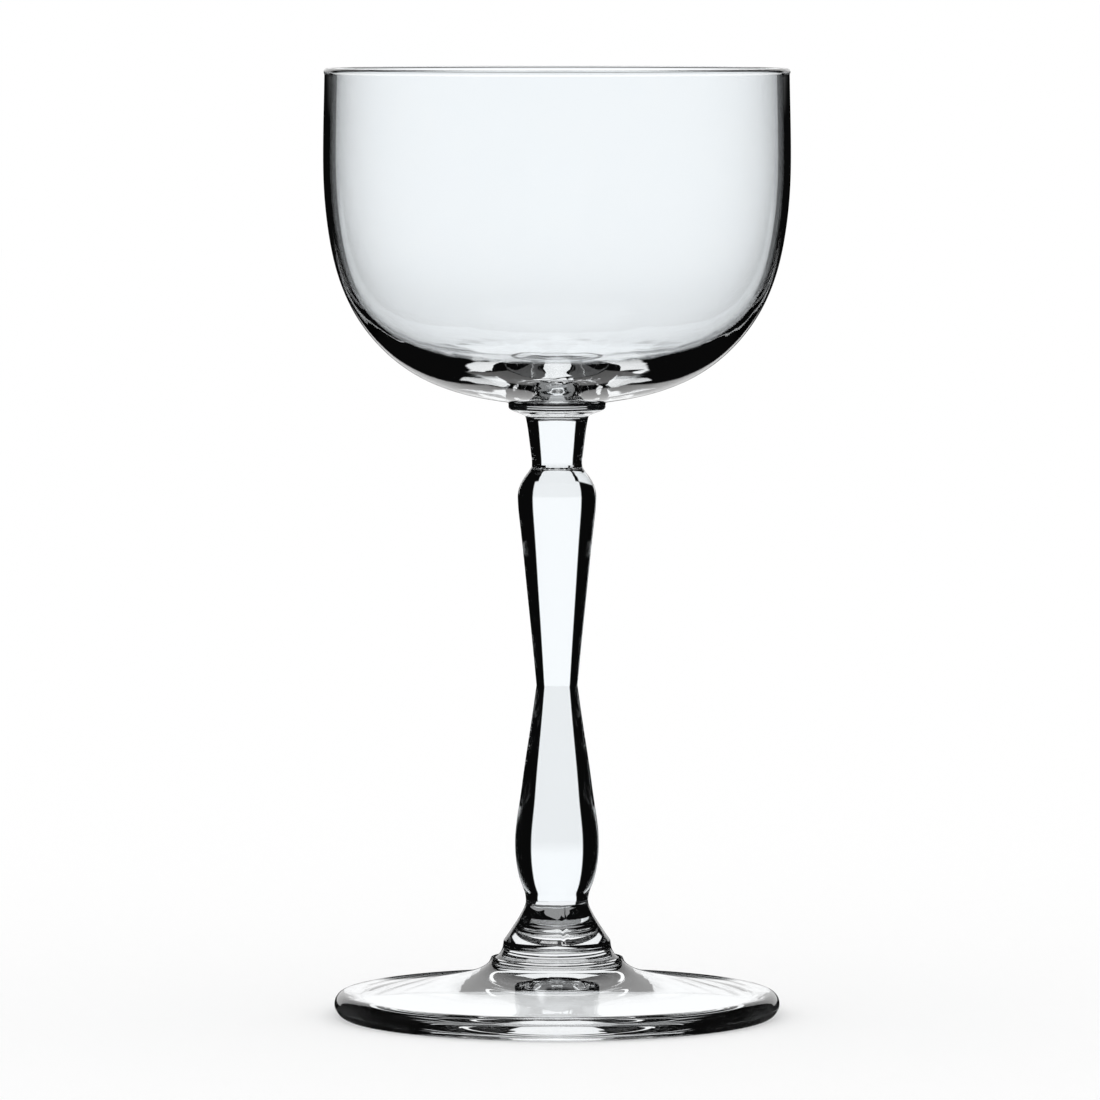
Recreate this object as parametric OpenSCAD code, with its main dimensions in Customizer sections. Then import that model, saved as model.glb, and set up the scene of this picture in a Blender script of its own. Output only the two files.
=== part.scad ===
// A small stemmed cocktail glass in eight pieces of clear glass, fused one on another on an upright axis.
// The origin is the centre of the ring that it stands on, and +Z is up. Lengths are in millimetres.

/* [Foot] */
// Widest diameter of the foot
foot_d = 74.4; // [62:0.2:90]
// Height of the foot where the collar sits on it
foot_h = 9.8; // [7:0.1:14]
// Diameter of the face that the collar sits on
foot_seat_d = 22; // [20.8:0.2:28]
// Thickness of the foot at its edge
foot_edge_h = 4; // [3:0.1:5.5]
// Height of the widest line of the edge
foot_wide_h = 2.1; // [1:0.1:3]
// How far in the rounding of the edge's upper side reaches
foot_edge_round = 1.8; // [0.8:0.1:3]
// How far inside the widest line the foot starts to rest
foot_rest_inset = 1.5; // [0.8:0.1:3]
// Width of the flat ring that the foot rests on
foot_rest_w = 2.4; // [1:0.1:5]
// Depth of the cone-shaped hollow under the foot, at its middle
foot_hollow_h = 4.5; // [0.5:0.1:5.2]

/* [Collar on the foot] */
// Height of the collar
collar_h = 2.9; // [1.6:0.1:5]
// Diameter of the collar's upper edge
collar_d = 17.8; // [15:0.2:20]
// Diameter of the collar where it sits on the foot
collar_base_d = 20.6; // [18.4:0.2:21.8]

/* [Cone under the stem] */
// Height of the cone
cone_h = 6.35; // [4:0.05:12]
// Diameter of the joint between the cone and the lower baluster
cone_top_d = 10.4; // [8:0.1:13]

/* [Lower baluster] */
// Height of the lower baluster
lower_h = 36.35; // [26:0.05:50]
// Widest diameter of its swelling
lower_belly_d = 13.96; // [12:0.02:18]
// Height of the widest line above the baluster's lower end
lower_belly_h = 9.55; // [6:0.05:14]
// Diameter of the waist, where the two balusters meet
waist_d = 6.84; // [5:0.02:9]

/* [Upper baluster] */
// Height of the upper baluster
upper_h = 36.55; // [26:0.05:50]
// Widest diameter of its swelling
upper_belly_d = 13.06; // [11:0.02:17]
// Depth of the widest line below the baluster's upper end
upper_belly_drop = 5.45; // [3.5:0.05:9]
// Diameter of the joint between the upper baluster and the neck
neck_d = 8.4; // [6:0.1:10.4]

/* [Neck] */
// Height of the neck
neck_h = 8.15; // [5:0.05:14]
// Diameter of the joint between the neck and the button
neck_top_d = 10.4; // [8:0.1:13]

/* [Button under the bowl] */
// Height of the button
button_h = 2.6; // [1.6:0.1:5]
// Widest diameter of the button
button_d = 16.2; // [14:0.1:20]

/* [Bowl] */
// Height of the bowl above the button, with its rim
bowl_h = 55.5; // [40:0.5:75]
// Widest diameter of the bowl
bowl_d = 77.6; // [64:0.2:96]
// Diameter of the flat underside that sits on the button
bowl_seat_d = 16.6; // [14:0.1:22]
// Thickness of the wall at the rim
bowl_wall = 1.1; // [0.8:0.05:2]
// Thickness of the glass over the button, where it is thickest
bowl_floor = 3.6; // [2.4:0.1:6]
// How far the rim's melted edge stands out from the wall
rim_bulge = 0.12; // [0.05:0.01:0.3]

/* [Hidden] */

// Pale blue-white of clear glass
glass_tint = [0.88, 0.93, 0.95];
// Facets of a full turn, steps in each stretch of a curve, in an edge's arc and across the bowl's floor
turn_facets = 180;
curve_steps = 4;
arc_steps = 12;
floor_steps = 5;

// Heights of the joints above the table
collar_z = foot_h;
cone_z = collar_z + collar_h;
lower_z = cone_z + cone_h;
waist_z = lower_z + lower_h;
neck_z = waist_z + upper_h;
button_z = neck_z + neck_h;
bowl_z = button_z + button_h;
rim_z = bowl_z + bowl_h;

// The melted rim is a round bead as thick as the wall and its bulge, and it leaves the wall at bead_angle
bead_r = (bowl_wall + rim_bulge) / 2;
bead_angle = acos(1 - rim_bulge / bead_r);
bead_start_z = rim_z - bead_r * (1 + sin(bead_angle));

// Corners of each outline, as shares of the sizes that it spans: first along the height, then across
bowl_shares = [
    [0, 0], [0.012, 0.145], [0.032, 0.292], [0.069, 0.464], [0.127, 0.62], [0.199, 0.748], [0.285, 0.854],
    [0.397, 0.935], [0.53, 0.981], [0.67, 1.004], [0.82, 1.002], [0.93, 0.997], [1, 0.9945],
];
// Share of the floor's extra glass that is left at each corner of the bowl's outline
bowl_glass_shares = [1, 1, 0.95, 0.7, 0.42, 0.22, 0.1, 0.04, 0.01, 0, 0, 0, 0];
button_shares = [[0, 0], [0.13, 0.05], [0.33, 0.42], [0.46, 0.86], [0.65, 1.02], [0.85, 0.965]];
neck_shares = [[0, 0], [0.12, -0.05], [0.33, 0.2], [0.58, 0.45], [0.82, 0.7], [1, 1]];
upper_end_shares = [[0, 0], [0.12, 0.16], [0.26, 0.42], [0.44, 0.7], [0.64, 0.92], [0.85, 1]];
upper_taper_shares = [
    [-0.02, -0.01], [0.05, 0.015], [0.13, 0.115], [0.25, 0.255], [0.45, 0.45], [0.65, 0.66], [0.85, 0.86],
    [1, 1],
];
lower_end_shares = [[0, 0], [0.1, 0], [0.2, 0.13], [0.34, 0.47], [0.5, 0.71], [0.68, 0.88], [0.84, 0.975]];
lower_taper_shares = [
    [0, -0.005], [0.08, 0.005], [0.18, 0.095], [0.31, 0.26], [0.48, 0.415], [0.67, 0.64], [0.85, 0.845],
    [1, 1],
];
cone_shares = [[0, 0], [0.1, 0.04], [0.23, 0.15], [0.42, 0.325], [0.62, 0.555], [0.83, 0.785], [1, 1]];
collar_shares = [[0, 0], [0.14, 0.04], [0.31, 0.08], [0.48, 0.15], [0.69, 0.36], [0.86, 0.61], [1, 1]];
foot_top_shares = [
    [0, 0], [0.1, 0.008], [0.22, 0.029], [0.4, 0.102], [0.535, 0.225], [0.67, 0.39], [0.8, 0.594],
    [0.91, 0.8], [0.975, 0.935], [1, 1],
];
foot_hollow_shares = [[0, 0], [0.315, 0.28], [0.62, 0.55], [0.855, 0.76], [0.99, 0.91], [1, 1]];

function mix(a, b, share) = a + (b - a) * share;

// Points [radius, height] of an outline's corners, between two radii and two heights
function corners(shares, z_from, z_to, r_from, r_to) =
    [for (s = shares) [mix(r_from, r_to, s[1]), mix(z_from, z_to, s[0])]];

// A smooth curve that starts on the first corner, ends on the last and rounds off those between
function curve_weights(t) = [
    pow(1 - t, 3) / 6,
    (3 * pow(t, 3) - 6 * pow(t, 2) + 4) / 6,
    (1 + 3 * t + 3 * pow(t, 2) - 3 * pow(t, 3)) / 6,
    pow(t, 3) / 6,
];
function smooth(path) =
    let (last = len(path) - 1)
    let (p = concat([2 * path[0] - path[1]], path, [2 * path[last] - path[last - 1]]))
    concat(
        [for (i = [0:last - 1], k = [0:curve_steps - 1])
            curve_weights(k / curve_steps) * [p[i], p[i + 1], p[i + 2], p[i + 3]]],
        [path[last]]
    );

// Points of an arc of an ellipse round a centre, from one angle to another
function arc(centre, half_sizes, from, to) =
    [for (k = [0:arc_steps])
        let (a = mix(from, to, k / arc_steps))
        [centre[0] + half_sizes[0] * cos(a), centre[1] + half_sizes[1] * sin(a)]];

// The corners of the bowl's inner side lie inside those of the outline, by the thickness of the glass there
function inward(path, i) =
    let (along = path[min(i + 1, len(path) - 1)] - path[max(i - 1, 0)])
    [-along[1], along[0]] / norm(along);
function inner_corners(path) =
    [for (i = [0:len(path) - 1])
        let (glass = mix(bowl_wall, bowl_floor, bowl_glass_shares[i]))
        path[i] + glass * inward(path, i)];

// The floor's middle dips to the axis and leaves the inner side at the same slope
function floor_middle(first, slope) =
    [for (k = [0:floor_steps - 1])
        let (share = k / floor_steps)
        [share * first[0], first[1] - slope * first[0] * (1 - pow(share, 2)) / 2]];

// Outline of a baluster, from its end past its swelling to the waist, upwards or downwards
function baluster_outline(end_z, belly_z, end_r, belly_r, end_shares, taper_shares) =
    smooth(concat(
        corners(end_shares, end_z, belly_z, end_r, belly_r),
        corners(taper_shares, belly_z, waist_z, belly_r, waist_d / 2)
    ));

function reversed(path) = [for (i = [len(path) - 1:-1:0]) path[i]];

// A solid of glass turned from its outline, which starts and ends at the heights of its flat joints
module turned(outline) {
    color(glass_tint)
        rotate_extrude($fn = turn_facets)
            polygon(concat([[0, outline[0][1]]], outline, [[0, outline[len(outline) - 1][1]]]));
}

module bowl() {
    outer_corners = corners(bowl_shares, bowl_z, bead_start_z, bowl_seat_d / 2, bowl_d / 2);
    outer = smooth(outer_corners);
    inner = smooth(inner_corners(outer_corners));
    lip_r = outer[len(outer) - 1][0] + rim_bulge - bead_r;
    lip = arc([lip_r, rim_z - bead_r], [bead_r, bead_r], -bead_angle, 180);
    slope = (inner[1][1] - inner[0][1]) / (inner[1][0] - inner[0][0]);
    middle = floor_middle(inner[0], slope);
    color(glass_tint)
        rotate_extrude($fn = turn_facets)
            polygon(concat([[0, bowl_z]], outer, lip, reversed(inner), reversed(middle)));
}

module bowl_button() {
    side = corners(button_shares, button_z, bowl_z, neck_top_d / 2, button_d / 2);
    turned(smooth(concat(side, [[bowl_seat_d / 2, bowl_z]])));
}

module neck() {
    turned(smooth(corners(neck_shares, neck_z, button_z, neck_d / 2, neck_top_d / 2)));
}

module upper_baluster() {
    belly_z = neck_z - upper_belly_drop;
    belly_r = upper_belly_d / 2;
    turned(baluster_outline(neck_z, belly_z, neck_d / 2, belly_r, upper_end_shares, upper_taper_shares));
}

module lower_baluster() {
    belly_z = lower_z + lower_belly_h;
    belly_r = lower_belly_d / 2;
    turned(baluster_outline(lower_z, belly_z, cone_top_d / 2, belly_r, lower_end_shares, lower_taper_shares));
}

module foot_cone() {
    turned(smooth(corners(cone_shares, lower_z, cone_z, cone_top_d / 2, collar_d / 2)));
}

module foot_collar() {
    turned(smooth(corners(collar_shares, cone_z, collar_z, collar_d / 2, collar_base_d / 2)));
}

module foot() {
    edge_r = foot_d / 2;
    upper_r = edge_r - foot_edge_round;
    rest_r = edge_r - foot_rest_inset;
    hollow_r = rest_r - foot_rest_w;
    top = smooth(corners(foot_top_shares, foot_h, foot_edge_h, foot_seat_d / 2, upper_r));
    upper_edge = arc([upper_r, foot_wide_h], [foot_edge_round, foot_edge_h - foot_wide_h], 90, 0);
    lower_edge = arc([rest_r, foot_wide_h], [foot_rest_inset, foot_wide_h], 0, -90);
    hollow = smooth(corners(foot_hollow_shares, 0, foot_hollow_h, hollow_r, 0));
    color(glass_tint)
        rotate_extrude($fn = turn_facets)
            polygon(concat([[0, foot_h]], top, upper_edge, lower_edge, hollow));
}

bowl();
bowl_button();
neck();
upper_baluster();
lower_baluster();
foot_cone();
foot_collar();
foot();
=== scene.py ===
import math

import bpy
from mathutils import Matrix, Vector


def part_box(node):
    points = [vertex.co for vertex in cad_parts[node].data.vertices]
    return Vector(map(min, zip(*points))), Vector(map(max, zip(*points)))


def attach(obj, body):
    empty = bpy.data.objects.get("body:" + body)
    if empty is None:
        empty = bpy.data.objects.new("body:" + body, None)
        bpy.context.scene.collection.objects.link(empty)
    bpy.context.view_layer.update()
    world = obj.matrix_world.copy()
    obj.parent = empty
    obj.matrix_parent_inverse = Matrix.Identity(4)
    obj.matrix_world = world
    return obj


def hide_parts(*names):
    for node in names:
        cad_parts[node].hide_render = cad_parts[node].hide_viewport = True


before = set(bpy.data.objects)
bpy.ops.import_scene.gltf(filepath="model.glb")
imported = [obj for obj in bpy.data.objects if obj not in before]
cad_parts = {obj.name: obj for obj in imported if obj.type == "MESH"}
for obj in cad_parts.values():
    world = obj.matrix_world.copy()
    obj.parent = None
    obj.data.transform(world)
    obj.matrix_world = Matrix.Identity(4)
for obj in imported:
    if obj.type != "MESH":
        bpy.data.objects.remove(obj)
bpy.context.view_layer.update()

# Foot
# A wide disc of clear soda-lime glass, pressed while it is soft and then fire-polished. It is thick at its
# round edge, rises to the stem, and is hollowed like a shallow cone underneath, so it rests on a ring.
MM = 0.001
FOOT_R = 37.2
FOOT_SEAT_R = 11.0
FOOT_EDGE_H = 4.0
FOOT_WIDE_H = 2.1
FOOT_EDGE_ROUND = 1.8
FOOT_REST_INSET = 1.5
FOOT_REST_W = 2.4
FOOT_HOLLOW_H = 4.5
FOOT_TOP_SHARES = [
    (0, 0), (0.1, 0.008), (0.22, 0.029), (0.4, 0.102), (0.535, 0.225), (0.67, 0.39), (0.8, 0.594),
    (0.91, 0.8), (0.975, 0.935), (1, 1),
]
FOOT_HOLLOW_SHARES = [(0, 0), (0.315, 0.28), (0.62, 0.55), (0.855, 0.76), (0.99, 0.91), (1, 1)]
THIN_GLASS_TINTS = ((0.968, 0.988, 1, 1), (0.958, 0.982, 0.998, 1))
GLASS_IOR = 1.52
PRESSED_MARK_SIZE = 11.0
PRESSED_MARK_DEPTH = 0.02
FACETS_ROUND = 256
CREASE_ANGLE = 0.5
MERGE_WITHIN = 1e-6
WHOLLY_FUSED = 0.99
SAME_HEIGHT = 1e-4
NO_FADE = (1.0, 2.0)


def joint_height(node):
    """Height in mm of a piece's upper end, where the next piece is fused on."""
    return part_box(node)[1][2] / MM


def corners(shares, z_from, z_to, r_from, r_to):
    """Corners (radius, height) of an outline from shares of the height and of the radii that it spans."""
    return [[r_from + across * (r_to - r_from), z_from + up * (z_to - z_from)] for up, across in shares]


def smooth(path, steps=10):
    """A curve that starts on the first corner, ends on the last and rounds off those between."""
    first = [2 * a - b for a, b in zip(path[0], path[1])]
    last = [2 * a - b for a, b in zip(path[-1], path[-2])]
    held = [first, *path, last]
    curve = []
    for i in range(len(path) - 1):
        for k in range(steps):
            t = k / steps
            weights = ((1 - t) ** 3, 3 * t**3 - 6 * t**2 + 4, 1 + 3 * t + 3 * t**2 - 3 * t**3, t**3)
            four = held[i : i + 4]
            curve.append([sum(w * p[axis] for w, p in zip(weights, four)) / 6 for axis in (0, 1)])
    return curve + [list(path[-1])]


def arc(centre, half_sizes, start, stop, steps=16):
    """Points on an ellipse round a centre (radius, height) from one angle to another, in degrees."""
    angles = [math.radians(start + (stop - start) * k / steps) for k in range(steps + 1)]
    return [[c + half_sizes[0] * math.cos(a), z + half_sizes[1] * math.sin(a)]
            for a in angles for c, z in [centre]]


def calc(tree, operation, *values):
    """A math node in a tree, fed by sockets or plain numbers."""
    node = tree.nodes.new("ShaderNodeMath")
    node.operation = operation
    for socket, value in zip(node.inputs, values):
        if isinstance(value, bpy.types.NodeSocket):
            tree.links.new(value, socket)
        else:
            socket.default_value = value
    return node.outputs[0]


def turning_tree():
    """Turns an outline into a closed solid. The points marked fused bound the faces that meet other pieces,
    and a mould seam can stand up from the turned side."""
    tree = bpy.data.node_groups.new("turned_on_the_axis", "GeometryNodeTree")
    nodes, links = tree.nodes, tree.links

    def take(name, kind, value=None):
        socket = tree.interface.new_socket(name, in_out="INPUT", socket_type=kind)
        if value is not None:
            socket.default_value = value

    def add(kind, **settings):
        node = nodes.new(kind)
        for key, value in settings.items():
            setattr(node, key, value)
        return node

    take("Outline", "NodeSocketGeometry")
    take("Facets Round", "NodeSocketInt", FACETS_ROUND)
    take("Crease Angle", "NodeSocketFloat", CREASE_ANGLE)
    take("Seam Height", "NodeSocketFloat")
    take("Seam Width", "NodeSocketFloat", MM)
    take("Seam Turn", "NodeSocketFloat")
    take("Glass", "NodeSocketMaterial")
    take("Joint", "NodeSocketMaterial")
    tree.interface.new_socket("Solid", in_out="OUTPUT", socket_type="NodeSocketGeometry")
    given = add("NodeGroupInput").outputs

    count = add("GeometryNodeAttributeDomainSize", component="MESH")
    links.new(given["Outline"], count.inputs["Geometry"])
    rows = count.outputs["Point Count"]
    grid = add("GeometryNodeMeshGrid")
    links.new(calc(tree, "ADD", given["Facets Round"], 1), grid.inputs["Vertices X"])
    links.new(rows, grid.inputs["Vertices Y"])
    index = add("GeometryNodeInputIndex").outputs["Index"]
    row = calc(tree, "MODULO", index, rows)
    column = calc(tree, "FLOOR", calc(tree, "DIVIDE", index, rows))

    def from_outline(kind, value):
        node = add("GeometryNodeSampleIndex", data_type=kind, domain="POINT")
        links.new(given["Outline"], node.inputs["Geometry"])
        links.new(value, node.inputs["Value"])
        links.new(row, node.inputs["Index"])
        return node.outputs["Value"]

    place = add("ShaderNodeSeparateXYZ")
    links.new(from_outline("FLOAT_VECTOR", add("GeometryNodeInputPosition").outputs[0]), place.inputs[0])
    marked = add("GeometryNodeInputNamedAttribute", data_type="FLOAT")
    marked.inputs["Name"].default_value = "fused"
    fused = from_outline("FLOAT", marked.outputs["Attribute"])
    keep = add("GeometryNodeCaptureAttribute", domain="POINT")
    keep.capture_items.new("FLOAT", "Fused")
    links.new(grid.outputs["Mesh"], keep.inputs["Geometry"])
    links.new(fused, keep.inputs["Fused"])

    turn = calc(tree, "DIVIDE", calc(tree, "MULTIPLY", column, math.tau), given["Facets Round"])
    off_seam = calc(tree, "ABSOLUTE", calc(tree, "SINE", calc(tree, "SUBTRACT", turn, given["Seam Turn"])))
    away = calc(tree, "DIVIDE", calc(tree, "MULTIPLY", off_seam, place.outputs["X"]), given["Seam Width"])
    ridge = calc(tree, "MAXIMUM", calc(tree, "SUBTRACT", 1, calc(tree, "MULTIPLY", away, away)), 0)
    free = calc(tree, "SUBTRACT", 1, fused)
    seam = calc(tree, "MULTIPLY", calc(tree, "MULTIPLY", ridge, free), given["Seam Height"])
    radius = calc(tree, "ADD", place.outputs["X"], seam)
    spot = add("ShaderNodeCombineXYZ")
    links.new(calc(tree, "MULTIPLY", radius, calc(tree, "COSINE", turn)), spot.inputs["X"])
    links.new(calc(tree, "MULTIPLY", radius, calc(tree, "SINE", turn)), spot.inputs["Y"])
    links.new(place.outputs["Z"], spot.inputs["Z"])
    moved = add("GeometryNodeSetPosition")
    links.new(keep.outputs["Geometry"], moved.inputs["Geometry"])
    links.new(spot.outputs[0], moved.inputs["Position"])
    merged = add("GeometryNodeMergeByDistance")
    merged.inputs["Distance"].default_value = MERGE_WITHIN
    links.new(moved.outputs["Geometry"], merged.inputs["Geometry"])

    whole_face = add("GeometryNodeFieldOnDomain", data_type="FLOAT", domain="FACE")
    links.new(keep.outputs["Fused"], whole_face.inputs["Value"])
    round_side = add("GeometryNodeSetShadeSmooth", domain="FACE")
    links.new(merged.outputs["Geometry"], round_side.inputs["Geometry"])
    bend = add("GeometryNodeInputMeshEdgeAngle").outputs["Unsigned Angle"]
    creased = add("GeometryNodeSetShadeSmooth", domain="EDGE")
    links.new(round_side.outputs["Geometry"], creased.inputs["Geometry"])
    links.new(calc(tree, "GREATER_THAN", bend, given["Crease Angle"]), creased.inputs["Selection"])
    creased.inputs["Shade Smooth"].default_value = False
    realized = add("GeometryNodeRealizeInstances")
    links.new(creased.outputs["Geometry"], realized.inputs["Geometry"])
    glazed = add("GeometryNodeSetMaterial")
    links.new(realized.outputs["Geometry"], glazed.inputs["Geometry"])
    links.new(given["Glass"], glazed.inputs["Material"])
    joined = add("GeometryNodeSetMaterial")
    links.new(glazed.outputs["Geometry"], joined.inputs["Geometry"])
    wholly = calc(tree, "GREATER_THAN", whole_face.outputs["Value"], WHOLLY_FUSED)
    links.new(wholly, joined.inputs["Selection"])
    links.new(given["Joint"], joined.inputs["Material"])
    links.new(joined.outputs["Geometry"], add("NodeGroupOutput").inputs["Solid"])
    return tree


TURNED = turning_tree()


def chill_marks():
    """The slight unevenness of glass that cooled against a mould: height and tint that wander over it. The
    height fades out between two heights in m, where thick glass grows thin."""
    group = bpy.data.node_groups.new("chill_marks", "ShaderNodeTree")
    for name in ("Mark Size", "Stretch", "Fade From", "Fade To"):
        group.interface.new_socket(name, in_out="INPUT", socket_type="NodeSocketFloat")
    for name in ("Pale Tint", "Deep Tint"):
        group.interface.new_socket(name, in_out="INPUT", socket_type="NodeSocketColor")
    group.interface.new_socket("Height", in_out="OUTPUT", socket_type="NodeSocketFloat")
    group.interface.new_socket("Tint", in_out="OUTPUT", socket_type="NodeSocketColor")
    nodes, links = group.nodes, group.links
    given = nodes.new("NodeGroupInput").outputs
    place = nodes.new("ShaderNodeTexCoord")
    axes = nodes.new("ShaderNodeSeparateXYZ")
    links.new(place.outputs["Object"], axes.inputs[0])
    drawn = nodes.new("ShaderNodeCombineXYZ")
    links.new(axes.outputs["X"], drawn.inputs["X"])
    links.new(axes.outputs["Y"], drawn.inputs["Y"])
    links.new(calc(group, "DIVIDE", axes.outputs["Z"], given["Stretch"]), drawn.inputs["Z"])
    noise = nodes.new("ShaderNodeTexNoise")
    noise.inputs["Detail"].default_value = 1.0
    links.new(drawn.outputs[0], noise.inputs["Vector"])
    links.new(calc(group, "DIVIDE", 1 / MM, given["Mark Size"]), noise.inputs["Scale"])
    tint = nodes.new("ShaderNodeMix")
    tint.data_type = "RGBA"
    links.new(given["Pale Tint"], tint.inputs["A"])
    links.new(given["Deep Tint"], tint.inputs["B"])
    links.new(noise.outputs["Fac"], tint.inputs["Factor"])
    fade = nodes.new("ShaderNodeMapRange")
    fade.interpolation_type = "SMOOTHSTEP"
    links.new(axes.outputs["Z"], fade.inputs["Value"])
    links.new(given["Fade From"], fade.inputs["From Min"])
    links.new(given["Fade To"], fade.inputs["From Max"])
    fade.inputs["To Min"].default_value = 1.0
    fade.inputs["To Max"].default_value = 0.0
    out = nodes.new("NodeGroupOutput")
    links.new(calc(group, "MULTIPLY", noise.outputs["Fac"], fade.outputs["Result"]), out.inputs["Height"])
    links.new(tint.outputs["Result"], out.inputs["Tint"])
    return group


CHILL_MARKS = chill_marks()


def clear_glass(name, tints, mark_size, mark_depth, stretch=1.0, fade=NO_FADE):
    """Clear glass, smooth from the fire, with marks of a size and depth in mm on its skin. Its tint wanders
    between two. The marks can be stretched up the piece and can fade between two heights in m."""
    mat = bpy.data.materials.new(name)
    mat.use_nodes = True
    nodes, links = mat.node_tree.nodes, mat.node_tree.links
    surface = nodes["Principled BSDF"]
    surface.inputs["Roughness"].default_value = 0.0
    surface.inputs["IOR"].default_value = GLASS_IOR
    surface.inputs["Transmission Weight"].default_value = 1.0
    marks = nodes.new("ShaderNodeGroup")
    marks.node_tree = CHILL_MARKS
    marks.inputs["Mark Size"].default_value = mark_size
    marks.inputs["Stretch"].default_value = stretch
    marks.inputs["Pale Tint"].default_value, marks.inputs["Deep Tint"].default_value = tints
    marks.inputs["Fade From"].default_value, marks.inputs["Fade To"].default_value = fade
    links.new(marks.outputs["Tint"], surface.inputs["Base Color"])
    skin = nodes.new("ShaderNodeBump")
    skin.inputs["Strength"].default_value = 1.0
    skin.inputs["Distance"].default_value = mark_depth * MM
    links.new(marks.outputs["Height"], skin.inputs["Height"])
    links.new(skin.outputs["Normal"], surface.inputs["Normal"])
    return mat


def fused_joint():
    """Where two pieces are fused there is no surface left to see, so the joint lets everything through."""
    mat = bpy.data.materials.new("fused_joint")
    mat.use_nodes = True
    mat.node_tree.nodes["Principled BSDF"].inputs["Alpha"].default_value = 0.0
    return mat


FUSED_JOINT = fused_joint()


def turned(node, outline, glass, joined, **settings):
    """A closed solid turned from outline, a list of (radius, height) in mm from the axis and back to it, in
    place of the CAD node. joined lists the heights of its fused faces."""
    line = bpy.data.meshes.new(node + "_outline")
    edges = [(i, i + 1) for i in range(len(outline) - 1)]
    line.from_pydata([(r * MM, 0, z * MM) for r, z in outline], edges, [])
    ends = (0, 1, len(outline) - 2, len(outline) - 1)
    fused = line.attributes.new("fused", "FLOAT", "POINT")
    for i, (_, z) in enumerate(outline):
        fused.data[i].value = float(i in ends and any(abs(z - h) < SAME_HEIGHT for h in joined))
    lathe = bpy.data.objects.new(node + "_outline", line)
    bpy.context.collection.objects.link(lathe)
    turn = lathe.modifiers.new("turn", "NODES")
    turn.node_group = TURNED
    values = {"Glass": glass, "Joint": FUSED_JOINT, **settings}
    for socket in TURNED.interface.items_tree:
        if socket.name in values:
            turn[socket.identifier] = values[socket.name]
    solid = bpy.data.meshes.new_from_object(lathe.evaluated_get(bpy.context.evaluated_depsgraph_get()))
    bpy.data.objects.remove(lathe)
    solid.calc_loop_triangles()
    volume = 0
    for triangle in solid.loop_triangles:
        a, b, c = (solid.vertices[i].co for i in triangle.vertices)
        volume += a.dot(b.cross(c))
    if volume < 0:
        solid.flip_normals()
    piece = bpy.data.objects.new("glass_" + node, solid)
    bpy.context.collection.objects.link(piece)
    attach(piece, "root")
    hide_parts(node)


collar_z = joint_height("foot")
foot_top_r = FOOT_R - FOOT_EDGE_ROUND
foot_rest_r = FOOT_R - FOOT_REST_INSET
foot_hollow_r = foot_rest_r - FOOT_REST_W
foot_top = smooth(corners(FOOT_TOP_SHARES, collar_z, FOOT_EDGE_H, FOOT_SEAT_R, foot_top_r))
foot_edge = arc((foot_top_r, FOOT_WIDE_H), (FOOT_EDGE_ROUND, FOOT_EDGE_H - FOOT_WIDE_H), 90, 0)
foot_edge += arc((foot_rest_r, FOOT_WIDE_H), (FOOT_REST_INSET, FOOT_WIDE_H), 0, -90)[1:]
foot_hollow = smooth(corners(FOOT_HOLLOW_SHARES, 0, FOOT_HOLLOW_H, foot_hollow_r, 0))
pressed_glass = clear_glass("pressed_glass", THIN_GLASS_TINTS, PRESSED_MARK_SIZE, PRESSED_MARK_DEPTH)
turned("foot", [[0, collar_z]] + foot_top + foot_edge[1:] + foot_hollow, pressed_glass, [collar_z])

# Collar on the foot
# A low ringed step of the same pressed glass, fused to the middle of the foot.
COLLAR_R = 8.9
COLLAR_BASE_R = 10.3
COLLAR_SHARES = [(0, 0), (0.14, 0.04), (0.31, 0.08), (0.48, 0.15), (0.69, 0.36), (0.86, 0.61), (1, 1)]
cone_z = joint_height("foot_collar")
collar = smooth(corners(COLLAR_SHARES, cone_z, collar_z, COLLAR_R, COLLAR_BASE_R))
turned("foot_collar", [[0, cone_z]] + collar + [[0, collar_z]], pressed_glass, [cone_z, collar_z])

# Cone under the stem
# The cone that spreads the stem's load. Its two-part mould leaves a fine upright seam, front and back.
CONE_TOP_R = 5.2
CONE_SEAM_H = 0.14
CONE_SEAM_W = 0.5
CONE_SEAM_TURN = -80
CONE_SHARES = [(0, 0), (0.1, 0.04), (0.23, 0.15), (0.42, 0.325), (0.62, 0.555), (0.83, 0.785), (1, 1)]
lower_z = joint_height("foot_cone")
cone = smooth(corners(CONE_SHARES, lower_z, cone_z, CONE_TOP_R, COLLAR_R))
seam = {
    "Seam Height": CONE_SEAM_H * MM,
    "Seam Width": CONE_SEAM_W * MM,
    "Seam Turn": math.radians(CONE_SEAM_TURN),
}
turned("foot_cone", [[0, lower_z]] + cone + [[0, cone_z]], pressed_glass, [lower_z, cone_z], **seam)

# Lower baluster
# The lower swelling of the solid stem, drawn from hot glass, so its marks run along it. It swells just
# above the cone and narrows to the waist.
LOWER_BELLY_R = 6.98
LOWER_BELLY_H = 9.55
WAIST_R = 3.42
LOWER_END_SHARES = [(0, 0), (0.1, 0), (0.2, 0.13), (0.34, 0.47), (0.5, 0.71), (0.68, 0.88), (0.84, 0.975)]
LOWER_TAPER_SHARES = [
    (0, -0.005), (0.08, 0.005), (0.18, 0.095), (0.31, 0.26), (0.48, 0.415), (0.67, 0.64), (0.85, 0.845),
    (1, 1),
]
waist_z = joint_height("lower_baluster")


def baluster(end_z, belly_z, end_r, belly_r, end_shares, taper_shares):
    """The outline of one half of the stem, from its end over its belly to the waist."""
    end = corners(end_shares, end_z, belly_z, end_r, belly_r)
    return smooth(end + corners(taper_shares, belly_z, waist_z, belly_r, WAIST_R))


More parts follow.
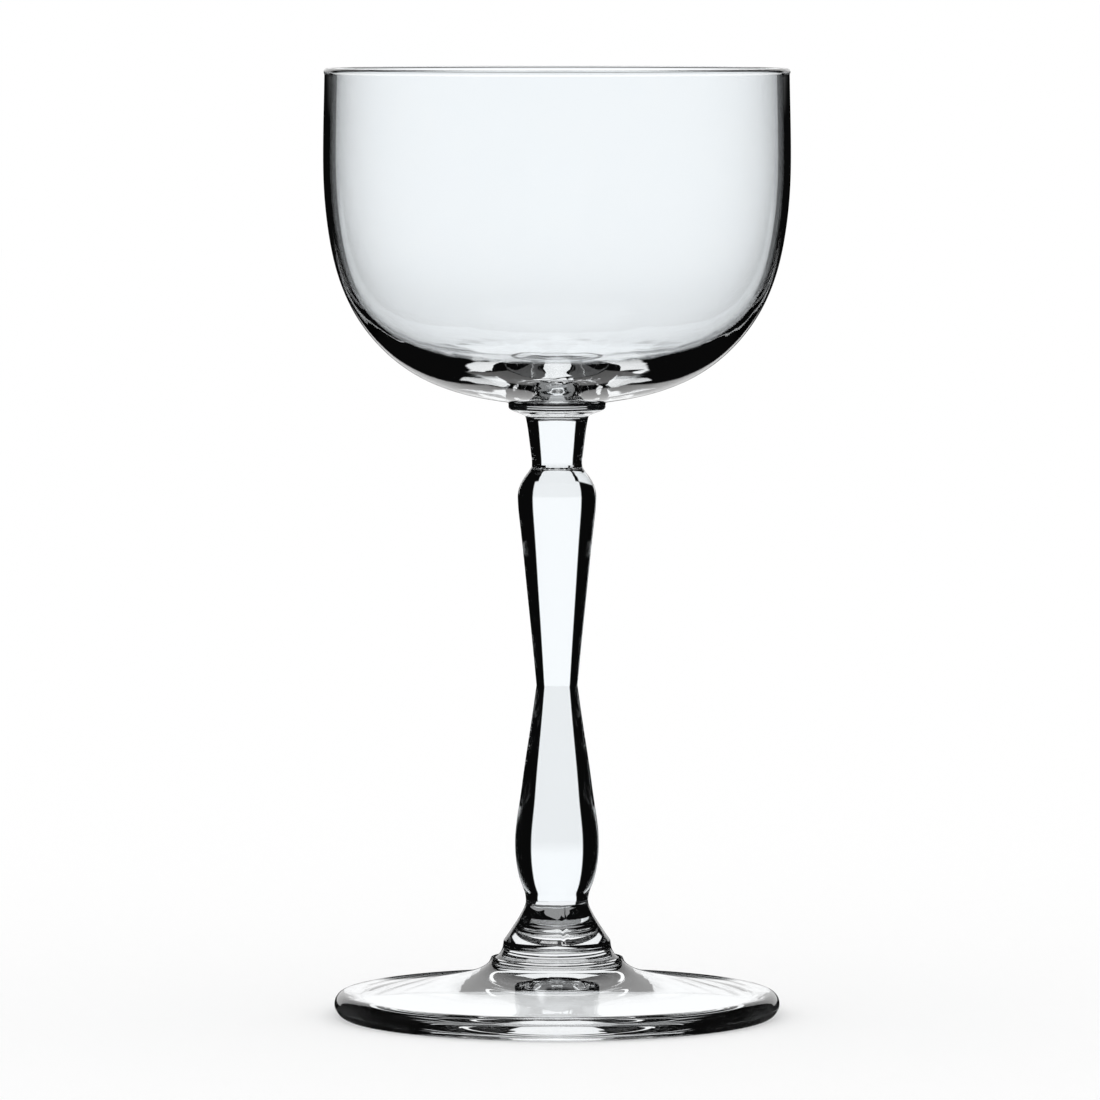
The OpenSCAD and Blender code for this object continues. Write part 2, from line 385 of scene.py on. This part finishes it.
SOLID_GLASS_TINTS = ((0.895, 0.93, 0.952, 1), (0.88, 0.917, 0.942, 1))
DRAWN_MARK_SIZE = 6.0
DRAWN_MARK_DEPTH = 0.003
DRAWN_STRETCH = 5.0
drawn_glass = clear_glass(
    "drawn_glass", SOLID_GLASS_TINTS, DRAWN_MARK_SIZE, DRAWN_MARK_DEPTH, stretch=DRAWN_STRETCH,
)
lower_belly_z = lower_z + LOWER_BELLY_H
lower = baluster(lower_z, lower_belly_z, CONE_TOP_R, LOWER_BELLY_R, LOWER_END_SHARES, LOWER_TAPER_SHARES)
turned("lower_baluster", [[0, lower_z]] + lower + [[0, waist_z]], drawn_glass, [lower_z, waist_z])

# Upper baluster
# The upper swelling of the stem, the lower one's mirror in form: narrow at the waist, widest near the neck.
UPPER_BELLY_R = 6.53
UPPER_BELLY_DROP = 5.45
NECK_R = 4.2
UPPER_END_SHARES = [(0, 0), (0.12, 0.16), (0.26, 0.42), (0.44, 0.7), (0.64, 0.92), (0.85, 1)]
UPPER_TAPER_SHARES = [
    (-0.02, -0.01), (0.05, 0.015), (0.13, 0.115), (0.25, 0.255), (0.45, 0.45), (0.65, 0.66), (0.85, 0.86),
    (1, 1),
]
neck_z = joint_height("upper_baluster")
upper_belly_z = neck_z - UPPER_BELLY_DROP
upper = baluster(neck_z, upper_belly_z, NECK_R, UPPER_BELLY_R, UPPER_END_SHARES, UPPER_TAPER_SHARES)
turned("upper_baluster", [[0, neck_z]] + upper + [[0, waist_z]], drawn_glass, [neck_z, waist_z])

# Neck
# The short top of the stem, slightly flared. A sharp groove marks where it is fused to the baluster.
NECK_TOP_R = 5.2
NECK_SHARES = [(0, 0), (0.12, -0.05), (0.33, 0.2), (0.58, 0.45), (0.82, 0.7), (1, 1)]
button_z = joint_height("neck")
neck = smooth(corners(NECK_SHARES, neck_z, button_z, NECK_R, NECK_TOP_R))
turned("neck", [[0, neck_z]] + neck + [[0, button_z]], drawn_glass, [neck_z, button_z])

# Button under the bowl
# A small rounded disc of glass. The blown bowl is stuck on it while both are hot.
BUTTON_R = 8.1
BOWL_SEAT_R = 8.3
BUTTON_SHARES = [(0, 0), (0.13, 0.05), (0.33, 0.42), (0.46, 0.86), (0.65, 1.02), (0.85, 0.965)]
bowl_z = joint_height("bowl_button")
button_side = corners(BUTTON_SHARES, button_z, bowl_z, NECK_TOP_R, BUTTON_R) + [[BOWL_SEAT_R, bowl_z]]
button = [[0, button_z]] + smooth(button_side) + [[0, bowl_z]]
turned("bowl_button", button, pressed_glass, [button_z, bowl_z])

# Bowl
# A deep bowl of thin glass, blown in a mould: thick in the floor, where the hot glass gathers, and thin up
# the side. Its rim is cut and melted to a round bead.
BOWL_R = 38.8
BOWL_WALL = 1.1
BOWL_FLOOR = 3.6
RIM_BULGE = 0.12
BOWL_SHARES = [
    (0, 0), (0.012, 0.145), (0.032, 0.292), (0.069, 0.464), (0.127, 0.62), (0.199, 0.748), (0.285, 0.854),
    (0.397, 0.935), (0.53, 0.981), (0.67, 1.004), (0.82, 1.002), (0.93, 0.997), (1, 0.9945),
]
BOWL_GLASS_SHARES = [1, 1, 0.95, 0.7, 0.42, 0.22, 0.1, 0.04, 0.01, 0, 0, 0, 0]
FLOOR_STEPS = 12
LIP_STEPS = 24
BLOWN_MARK_SIZE = 5.0
BLOWN_MARK_DEPTH = 0.04
FLOOR_MARKS_FADE = (0.108, 0.122)


def inner_corners(path):
    """Corners of the bowl's inner side, inside those of its outline by the thickness of the glass there."""
    inner = []
    for i, (r, z) in enumerate(path):
        before, after = path[max(i - 1, 0)], path[min(i + 1, len(path) - 1)]
        across, up = after[0] - before[0], after[1] - before[1]
        glass = (BOWL_WALL + (BOWL_FLOOR - BOWL_WALL) * BOWL_GLASS_SHARES[i]) / math.hypot(across, up)
        inner.append([r - up * glass, z + across * glass])
    return inner


rim_z = joint_height("bowl")
bead_r = (BOWL_WALL + RIM_BULGE) / 2
bead_angle = math.acos(1 - RIM_BULGE / bead_r)
bead_start_z = rim_z - bead_r * (1 + math.sin(bead_angle))
bowl_corners = corners(BOWL_SHARES, bowl_z, bead_start_z, BOWL_SEAT_R, BOWL_R)
bowl_outer = smooth(bowl_corners)
bowl_inner = smooth(inner_corners(bowl_corners))
lip_centre = (bowl_outer[-1][0] + RIM_BULGE - bead_r, rim_z - bead_r)
lip = arc(lip_centre, (bead_r, bead_r), -math.degrees(bead_angle), 180, LIP_STEPS)
(first_r, first_z), (next_r, next_z) = bowl_inner[:2]
slope = (next_z - first_z) / (next_r - first_r)
floor_shares = [k / FLOOR_STEPS for k in range(FLOOR_STEPS)]
floor_middle = [[s * first_r, first_z - slope * first_r * (1 - s * s) / 2] for s in floor_shares]
blown_glass = clear_glass(
    "blown_glass", THIN_GLASS_TINTS, BLOWN_MARK_SIZE, BLOWN_MARK_DEPTH, fade=FLOOR_MARKS_FADE,
)
bowl = [[0, bowl_z]] + bowl_outer + lip[1:] + bowl_inner[::-1] + floor_middle[::-1]
turned("bowl", bowl, blown_glass, [bowl_z])

# Floor
# A plain white table top without an end. It takes the glass's soft shadow, and glass sees through it to
# the light below, as it would on a lit table.
FLOOR_HALF = 4.0
floor_mesh = bpy.data.meshes.new("floor")
floor_corners = [(-FLOOR_HALF, -FLOOR_HALF, 0), (FLOOR_HALF, -FLOOR_HALF, 0),
                 (FLOOR_HALF, FLOOR_HALF, 0), (-FLOOR_HALF, FLOOR_HALF, 0)]
floor_mesh.from_pydata(floor_corners, [], [(0, 1, 2, 3)])
floor = bpy.data.objects.new("floor", floor_mesh)
bpy.context.collection.objects.link(floor)


def white_table():
    """Matt white paper to the camera, and nothing at all to a ray that comes out of glass."""
    mat = bpy.data.materials.new("white_table")
    mat.use_nodes = True
    tree = mat.node_tree
    tree.nodes.clear()
    matt = tree.nodes.new("ShaderNodeBsdfDiffuse")
    matt.inputs["Color"].default_value = (1, 1, 1, 1)
    through = tree.nodes.new("ShaderNodeBsdfTransparent")
    seen = tree.nodes.new("ShaderNodeMixShader")
    ray = tree.nodes.new("ShaderNodeLightPath").outputs
    in_glass = calc(tree, "MAXIMUM", ray["Is Glossy Ray"], ray["Is Transmission Ray"])
    tree.links.new(in_glass, seen.inputs[0])
    tree.links.new(matt.outputs[0], seen.inputs[1])
    tree.links.new(through.outputs[0], seen.inputs[2])
    tree.links.new(seen.outputs[0], tree.nodes.new("ShaderNodeOutputMaterial").inputs["Surface"])
    return mat


floor_mesh.materials.append(white_table())

# Cards
# Two dark grey cards stand behind the bowl, left and right. Its sides bend the view on to them, and that
# draws the grey line beside the black one along the wall. A white card lies on the table behind the foot
# and lights what the shoulder of the stem bends down. Only what is seen straight through glass meets them.
DARK_CARD_Y = 0.15
DARK_CARD_INNER_X = 0.064
DARK_CARD_OUTER_X = 0.2
DARK_CARD_LOW_Z = 0.09
DARK_CARD_HIGH_Z = 0.165
DARK_CARD_LEVEL = 0.42
WHITE_CARD_LEVEL = 1.0
BOTH_WALLS = 3.5
ANY_GLASS = 0.5
ONCE = 0.5
WHITE_CARD_NEAR = 0.095
WHITE_CARD_FAR = 0.26
WHITE_CARD_SPREAD = 0.4
WHITE_CARD_Z = 0.0006


def card(name, level, surfaces, spots):
    """A card between four spots. It glows at a level for what went straight through more glass surfaces
    than a number, and lets everything else through."""
    mat = bpy.data.materials.new(name)
    mat.use_nodes = True
    tree = mat.node_tree
    tree.nodes.clear()
    glow = tree.nodes.new("ShaderNodeEmission")
    glow.inputs["Strength"].default_value = level
    ray = tree.nodes.new("ShaderNodeLightPath").outputs
    straight = calc(tree, "LESS_THAN", ray["Glossy Depth"], ONCE)
    behind_glass = calc(tree, "GREATER_THAN", ray["Transmission Depth"], surfaces)
    seen = tree.nodes.new("ShaderNodeMixShader")
    tree.links.new(calc(tree, "MULTIPLY", straight, behind_glass), seen.inputs[0])
    tree.links.new(tree.nodes.new("ShaderNodeBsdfTransparent").outputs[0], seen.inputs[1])
    tree.links.new(glow.outputs[0], seen.inputs[2])
    tree.links.new(seen.outputs[0], tree.nodes.new("ShaderNodeOutputMaterial").inputs["Surface"])
    mesh = bpy.data.meshes.new(name)
    mesh.from_pydata(spots, [], [(0, 1, 2, 3)])
    mesh.materials.append(mat)
    sheet = bpy.data.objects.new(name, mesh)
    bpy.context.collection.objects.link(sheet)
    sheet.visible_camera = False
    sheet.visible_diffuse = False
    sheet.visible_glossy = False
    sheet.visible_shadow = False


for side, name in ((-1, "card_left"), (1, "card_right")):
    card(name, DARK_CARD_LEVEL, BOTH_WALLS, [
        (side * DARK_CARD_INNER_X, DARK_CARD_Y, DARK_CARD_LOW_Z),
        (side * DARK_CARD_OUTER_X, DARK_CARD_Y, DARK_CARD_LOW_Z),
        (side * DARK_CARD_OUTER_X, DARK_CARD_Y, DARK_CARD_HIGH_Z),
        (side * DARK_CARD_INNER_X, DARK_CARD_Y, DARK_CARD_HIGH_Z),
    ])
card("card_low", WHITE_CARD_LEVEL, ANY_GLASS, [
    (-WHITE_CARD_SPREAD * WHITE_CARD_NEAR, WHITE_CARD_NEAR, WHITE_CARD_Z),
    (WHITE_CARD_SPREAD * WHITE_CARD_NEAR, WHITE_CARD_NEAR, WHITE_CARD_Z),
    (WHITE_CARD_SPREAD * WHITE_CARD_FAR, WHITE_CARD_FAR, WHITE_CARD_Z),
    (-WHITE_CARD_SPREAD * WHITE_CARD_FAR, WHITE_CARD_FAR, WHITE_CARD_Z),
])

# Studio light
# A plain white room for everything but glass. Glass is lit as in a studio, by white panels on a black
# ground, so its edges come out dark. One set is for what goes straight through it, with some for views from
# other sides; the other is for what its surfaces throw back, inside or outside.
studio = bpy.data.worlds.new("studio")
studio.use_nodes = True
bpy.context.scene.world = studio
sky = studio.node_tree
sky.nodes.clear()
toward = sky.nodes.new("ShaderNodeSeparateXYZ")
sky.links.new(sky.nodes.new("ShaderNodeTexCoord").outputs["Generated"], toward.inputs[0])
EAST, NORTH, UP = toward.outputs
SOFT_EDGE = 1.0
PANEL_HALF = 28.2
STRAIGHT_DOWN = -90
# Each panel has the compass angle of its middle, 0 behind the glass and 90 on its right, then half its width
# and the angles of its lower and upper edge over the horizon.
BEHIND = (0, PANEL_HALF, -21.5, 40)
BEHIND_ABOVE = (0, PANEL_HALF, 0.5, 50)
BEHIND_BELOW = (0, 12, -40, -8)
UNDER_TABLE = (0, PANEL_HALF, STRAIGHT_DOWN, -49)
UNDER_FRONT = (180, 60, STRAIGHT_DOWN, -50)
LOW_LEFT = (-50.5, 22, -43, -22)
LEFT = (-90, 15, -21, 40)
FRONT_RIGHT = (135, PANEL_HALF, -40, -3)
UNDER_FRONT_LEVEL = 0.3
GLOW_LOW, GLOW_HIGH = 1.02, 1.14
GLOW_LOW_UNDER, GLOW_HIGH_OVER = -7, -1
BLACK_LEVEL = 0.003
ROOM_IN_SHADOW = 0.8
# A little over one, so the level part of the way straight up or down isn't quite zero.
JUST_OVER_ONE = 1.00001
flat = calc(sky, "SQRT", calc(sky, "SUBTRACT", JUST_OVER_ONE, calc(sky, "MULTIPLY", UP, UP)))


def ramp(value, low, high, to_low=0.0, to_high=1.0):
    """Goes from to_low to to_high, gently at both ends, as the value goes from low to high."""
    node = sky.nodes.new("ShaderNodeMapRange")
    node.interpolation_type = "SMOOTHSTEP"
    sky.links.new(value, node.inputs["Value"])
    for name, number in (("From Min", low), ("From Max", high), ("To Min", to_low), ("To Max", to_high)):
        node.inputs[name].default_value = number
    return node.outputs["Result"]


def over(angle):
    """1 above an angle over the horizon and 0 below it, in degrees."""
    edge = (math.sin(math.radians(angle - SOFT_EDGE)), math.sin(math.radians(angle + SOFT_EDGE)))
    return ramp(UP, *edge)


def panel(middle, half, low, high, level=1.0):
    """A panel that glows at a level, a number or a socket, with black all round it."""
    east, north = math.sin(math.radians(middle)), math.cos(math.radians(middle))
    facing = calc(sky, "ADD", calc(sky, "MULTIPLY", EAST, east), calc(sky, "MULTIPLY", NORTH, north))
    facing = calc(sky, "DIVIDE", facing, flat)
    edge = (math.cos(math.radians(half + SOFT_EDGE)), math.cos(math.radians(half - SOFT_EDGE)))
    lit = ramp(facing, *edge)
    if low > STRAIGHT_DOWN:
        lit = calc(sky, "MULTIPLY", lit, over(low))
    lit = calc(sky, "MULTIPLY", lit, calc(sky, "SUBTRACT", 1, over(high)))
    return calc(sky, "MULTIPLY", lit, level)


def brightest(*sockets):
    """The largest of some values, where panels lie over one another."""
    value = sockets[0]
    for other in sockets[1:]:
        value = calc(sky, "MAXIMUM", value, other)
    return value


graded = ramp(
    UP, math.sin(math.radians(GLOW_LOW_UNDER)), math.sin(math.radians(GLOW_HIGH_OVER)), GLOW_LOW, GLOW_HIGH,
)
straight_through = brightest(
    panel(*BEHIND, graded), panel(*UNDER_TABLE), panel(*LOW_LEFT), panel(*FRONT_RIGHT), panel(*LEFT),
)
thrown_back = brightest(
    panel(*BEHIND_ABOVE), panel(*BEHIND_BELOW), panel(*UNDER_TABLE), panel(*UNDER_FRONT, UNDER_FRONT_LEVEL),
)
ray = sky.nodes.new("ShaderNodeLightPath").outputs
is_back = calc(sky, "GREATER_THAN", ray["Glossy Depth"], ONCE)
in_glass = calc(sky, "ADD", calc(sky, "MULTIPLY", straight_through, calc(sky, "SUBTRACT", 1, is_back)),
                calc(sky, "MULTIPLY", thrown_back, is_back))
in_glass = calc(sky, "MAXIMUM", in_glass, BLACK_LEVEL)
after_table = calc(sky, "MULTIPLY", calc(sky, "GREATER_THAN", ray["Diffuse Depth"], ONCE), ROOM_IN_SHADOW)
plain = calc(sky, "MAXIMUM", ray["Is Camera Ray"], ray["Is Diffuse Ray"])
not_plain = calc(sky, "MULTIPLY", brightest(in_glass, after_table), calc(sky, "SUBTRACT", 1, plain))
white = sky.nodes.new("ShaderNodeBackground")
white.inputs["Color"].default_value = (1, 1, 1, 1)
sky.links.new(calc(sky, "ADD", not_plain, plain), white.inputs["Strength"])
sky.links.new(white.outputs[0], sky.nodes.new("ShaderNodeOutputWorld").inputs["Surface"])
studio.cycles.sampling_method = "NONE"

# Camera
# It stands about a metre and a half away, a little above the rim, and looks slightly down at the middle of
# the glass. Its lens is set for a frame 1100 pixels wide, six to the millimetre at the glass.
FRAME_PIXELS = 1100
PIXELS_PER_MM = 6.0
CAMERA_AWAY = 1457 * MM
CAMERA_HEIGHT = 174 * MM
AIM_HEIGHT = 78 * MM
AXIS_OFF_MIDDLE = 7 / PIXELS_PER_MM * MM
SENSOR_MM = 36
BOUNCES = 24
lens = bpy.data.cameras.new("camera")
lens.sensor_width = SENSOR_MM
slant = math.hypot(CAMERA_AWAY, CAMERA_HEIGHT - AIM_HEIGHT)
lens.lens = slant / MM * PIXELS_PER_MM / FRAME_PIXELS * SENSOR_MM
camera = bpy.data.objects.new("camera", lens)
bpy.context.collection.objects.link(camera)
camera.location = (-AXIS_OFF_MIDDLE, -CAMERA_AWAY, CAMERA_HEIGHT)
camera.rotation_euler = (math.radians(90) - math.atan2(CAMERA_HEIGHT - AIM_HEIGHT, CAMERA_AWAY), 0, 0)
scene = bpy.context.scene
scene.camera = camera
scene.view_settings.view_transform = "Standard"
scene.cycles.max_bounces = BOUNCES
scene.cycles.transmission_bounces = BOUNCES
scene.cycles.glossy_bounces = BOUNCES
scene.cycles.transparent_max_bounces = BOUNCES
